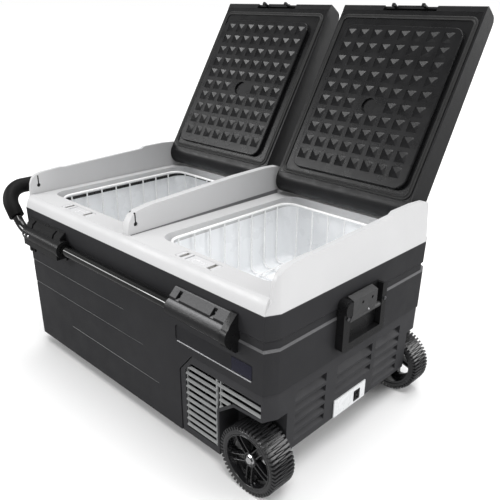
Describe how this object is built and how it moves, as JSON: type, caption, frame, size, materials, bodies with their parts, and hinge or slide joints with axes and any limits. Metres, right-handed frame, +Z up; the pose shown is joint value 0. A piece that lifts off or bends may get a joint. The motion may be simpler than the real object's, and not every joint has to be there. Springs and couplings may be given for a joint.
{
  "type": "compressor cooler fridge",
  "caption": "Wheeled dual-zone compressor cooler fridge with rear-hinged lids, wire baskets, telescopic pull handle, folding carry handle and louvred machine bay.",
  "frame": {"origin": "centre of the whole part in plan, on the ground that the wheels and feet stand on", "axes": "+X towards the wheels, -Y towards the front with the control panel, +Z up"},
  "size_m": [0.8395, 0.6888, 0.7662],
  "materials": {
    "case_plastic": "fine moulded texture",
    "bay_plastic": "fine moulded texture",
    "grille_grey": "satin",
    "power_white": "smooth",
    "black_plastic": "semi gloss",
    "grip_plastic": "satin",
    "contact_metal": "plated",
    "collar_grey": "satin",
    "strike_grey": "smooth",
    "tub_white": "smooth",
    "cold_aluminium": "rolled",
    "foam": "foamed",
    "white_wire": "powder coat",
    "lid_plastic": "fine moulded texture",
    "liner_plastic": "satin",
    "seal_rubber": "matt",
    "pin_steel": "machined",
    "panel_gloss": "satin",
    "screen_gloss": "polished",
    "compressor_black": "gloss enamel",
    "board_green": "solder mask",
    "copper_line": "drawn copper tube",
    "tyre_rubber": "matt",
    "rim_gloss": "gloss",
    "chrome_bolt": "polished",
    "handle_tube": "gloss black",
    "grip_foam": "soft foam"
  },
  "bodies": {
    "cabinet": {"outer_shell": "case_plastic", "bay_cover": "bay_plastic", "front_grille": "grille_grey", "rear_grille": "grille_grey", "power_panel": "power_white", "power_socket": "black_plastic", "socket_contacts": "contact_metal", "top_collar": "collar_grey", "latch_strike_left": "strike_grey", "latch_strike_right": "strike_grey", "tub_left": "tub_white", "tub_right": "tub_white", "cold_plate_left": "cold_aluminium", "cold_plate_right": "cold_aluminium", "foam_core": "foam", "control_bezel": "panel_gloss", "display_window": "screen_gloss", "compressor_tray": "pin_steel", "compressor": "compressor_black", "condenser": "cold_aluminium", "fan_frame": "black_plastic", "control_board": "board_green", "refrigerant_line": "copper_line", "axle": "pin_steel", "axle_clamps": "pin_steel", "hub_bolt_front": "chrome_bolt", "hub_bolt_rear": "chrome_bolt", "end_handle_housing": "black_plastic", "end_handle_pins": "pin_steel", "handle_guide_front": "black_plastic", "handle_sleeve_front": "black_plastic", "handle_guide_rear": "black_plastic", "handle_sleeve_rear": "black_plastic", "sleeve_caps": "black_plastic", "guide_bushes": "black_plastic", "rubber_feet": "seal_rubber", "case_screws": "chrome_bolt"},
    "lid_left": {"lid_left_shell": "lid_plastic", "lid_left_liner": "liner_plastic", "lid_left_gasket": "seal_rubber", "lid_left_hinge_pins": "pin_steel"},
    "lid_right": {"lid_right_shell": "lid_plastic", "lid_right_liner": "liner_plastic", "lid_right_gasket": "seal_rubber", "lid_right_hinge_pins": "pin_steel"},
    "latch_left": {"lid_left_latch": "lid_plastic"},
    "latch_right": {"lid_right_latch": "lid_plastic"},
    "wire_basket_left": {"basket_left": "white_wire"},
    "wire_basket_right": {"basket_right": "white_wire"},
    "wheel_front": {"tyre_front": "tyre_rubber", "rim_front": "rim_gloss"},
    "wheel_rear": {"tyre_rear": "tyre_rubber", "rim_rear": "rim_gloss"},
    "fan": {"fan_impeller": "black_plastic"},
    "end_handle": {"end_handle_grip": "grip_plastic"},
    "pull_handle": {"pull_handle_tube": "handle_tube", "pull_handle_grip": "grip_foam"},
    "knob_front": {"lock_knob_front": "black_plastic"},
    "knob_rear": {"lock_knob_rear": "black_plastic"},
    "drain": {"drain_plug": "black_plastic"}
  },
  "joints": [
    {"name": "lid_left_hinge", "type": "hinge", "parent": "cabinet", "child": "lid_left", "pos_m": [-0.16165, 0.12436, 0.398], "axis": [-1, 0, 0], "range_deg": [-121.45, 0]},
    {"name": "lid_right_hinge", "type": "hinge", "parent": "cabinet", "child": "lid_right", "pos_m": [0.20725, 0.12436, 0.398], "axis": [-1, 0, 0], "range_deg": [-121.45, 0]},
    {"name": "latch_left_pivot", "type": "hinge", "parent": "lid_left", "child": "latch_left", "pos_m": [-0.16165, 0.33292, 0.74284], "axis": [-1, 0, 0], "range_deg": [0, 12], "stiffness_Nm_per_rad": 0.6, "springref_deg": -6.88},
    {"name": "latch_right_pivot", "type": "hinge", "parent": "lid_right", "child": "latch_right", "pos_m": [0.20725, 0.33292, 0.74284], "axis": [-1, 0, 0], "range_deg": [0, 12], "stiffness_Nm_per_rad": 0.6, "springref_deg": -6.88},
    {"name": "basket_left_lift", "type": "slide", "parent": "cabinet", "child": "wire_basket_left", "axis": [0, 0, 1], "range_m": [0, 0.36]},
    {"name": "basket_right_lift", "type": "slide", "parent": "cabinet", "child": "wire_basket_right", "axis": [0, 0, 1], "range_m": [0, 0.2]},
    {"name": "wheel_front_spin", "type": "hinge", "parent": "cabinet", "child": "wheel_front", "pos_m": [0.3583, -0.29364, 0.063], "axis": [0, 1, 0], "continuous": true},
    {"name": "wheel_rear_spin", "type": "hinge", "parent": "cabinet", "child": "wheel_rear", "pos_m": [0.3583, 0.13836, 0.063], "axis": [0, 1, 0], "continuous": true},
    {"name": "fan_spin", "type": "hinge", "parent": "cabinet", "child": "fan", "pos_m": [0.2383, -0.28764, 0.104], "axis": [0, 1, 0], "continuous": true},
    {"name": "end_handle_fold", "type": "hinge", "parent": "cabinet", "child": "end_handle", "pos_m": [0.4073, -0.07764, 0.272], "axis": [0, 1, 0], "range_deg": [0, 85]},
    {"name": "pull_handle_slide", "type": "slide", "parent": "cabinet", "child": "pull_handle", "axis": [-1, 0, 0], "range_m": [0, 0.25]},
    {"name": "knob_front_turn", "type": "hinge", "parent": "cabinet", "child": "knob_front", "pos_m": [-0.2957, -0.32464, 0.256], "axis": [0, 0, 1], "range_deg": [-180, 180]},
    {"name": "knob_rear_turn", "type": "hinge", "parent": "cabinet", "child": "knob_rear", "pos_m": [-0.2957, 0.16936, 0.256], "axis": [0, 0, 1], "range_deg": [-180, 180]},
    {"name": "drain_plug_pull", "type": "slide", "parent": "cabinet", "child": "drain", "axis": [-1, 0, 0], "range_m": [0, 0.03]}
  ]
}
